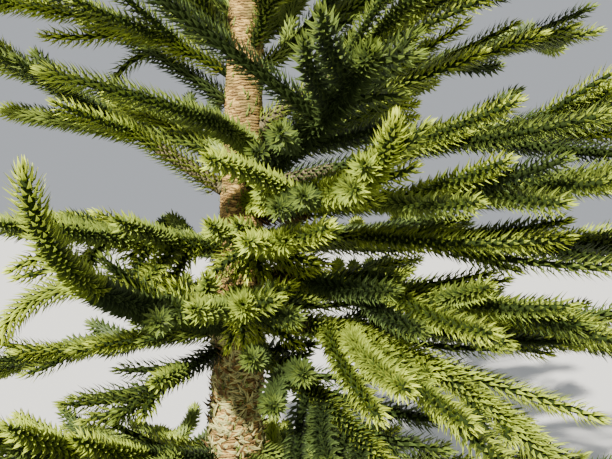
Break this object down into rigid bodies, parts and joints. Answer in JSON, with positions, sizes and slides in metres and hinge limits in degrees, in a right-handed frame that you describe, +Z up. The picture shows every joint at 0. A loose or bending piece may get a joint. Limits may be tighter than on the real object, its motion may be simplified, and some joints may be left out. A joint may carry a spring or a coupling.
{
  "type": "monkey puzzle tree",
  "caption": "Monkey puzzle tree with a tapering trunk, whorls of long arching boughs and rope-like shoots of stiff pointed leaves.",
  "frame": {"origin": "centre of the trunk's flat foot, at ground level", "axes": "+Z up along the trunk, towards the leader's tip; -Y towards the front of the tree"},
  "size_m": [2.8847, 2.3213, 5.249],
  "materials": {
    "bark": "rough grey-tan bark in thin level plates",
    "bough_bark": "rough brown bark with old leaf bases",
    "leaves": "stiff, slightly glossy green leaves"
  },
  "bodies": {
    "root": {"bough_lower_1": "bough_bark", "bough_lower_4": "bough_bark", "bough_main_10": "bough_bark", "bough_main_2": "bough_bark", "bough_main_4": "bough_bark", "bough_main_6": "bough_bark", "bough_middle_3": "bough_bark", "foliage_high_1": "leaves", "foliage_high_2": "leaves", "foliage_high_3": "leaves", "foliage_high_4": "leaves", "foliage_higher_1": "leaves", "foliage_higher_2": "leaves", "foliage_higher_3": "leaves", "foliage_lower_1": "leaves", "foliage_lower_2": "leaves", "foliage_lower_3": "leaves", "foliage_lower_4": "leaves", "foliage_lower_5": "leaves", "foliage_lower_6": "leaves", "foliage_lower_7": "leaves", "foliage_lower_8": "leaves", "foliage_lower_9": "leaves", "foliage_main_1": "leaves", "foliage_main_10": "leaves", "foliage_main_2": "leaves", "foliage_main_3": "leaves", "foliage_main_4": "leaves", "foliage_main_5": "leaves", "foliage_main_6": "leaves", "foliage_main_7": "leaves", "foliage_main_8": "leaves", "foliage_main_9": "leaves", "foliage_middle_1": "leaves", "foliage_middle_2": "leaves", "foliage_middle_3": "leaves", "foliage_middle_4": "leaves", "foliage_middle_5": "leaves", "foliage_middle_6": "leaves", "foliage_skirt_1": "leaves", "foliage_skirt_2": "leaves", "foliage_skirt_3": "leaves", "foliage_skirt_4": "leaves", "foliage_skirt_5": "leaves", "foliage_skirt_6": "leaves", "foliage_skirt_7": "leaves", "foliage_top": "leaves", "foliage_upper_1": "leaves", "foliage_upper_2": "leaves", "foliage_upper_3": "leaves", "foliage_upper_4": "leaves", "foliage_upper_5": "leaves", "foliage_upper_6": "leaves", "foliage_young_1": "leaves", "foliage_young_2": "leaves", "foliage_young_3": "leaves", "foliage_youngest_1": "leaves", "foliage_youngest_2": "leaves", "foliage_youngest_3": "leaves", "trunk": "bark"}
  },
  "joints": []
}
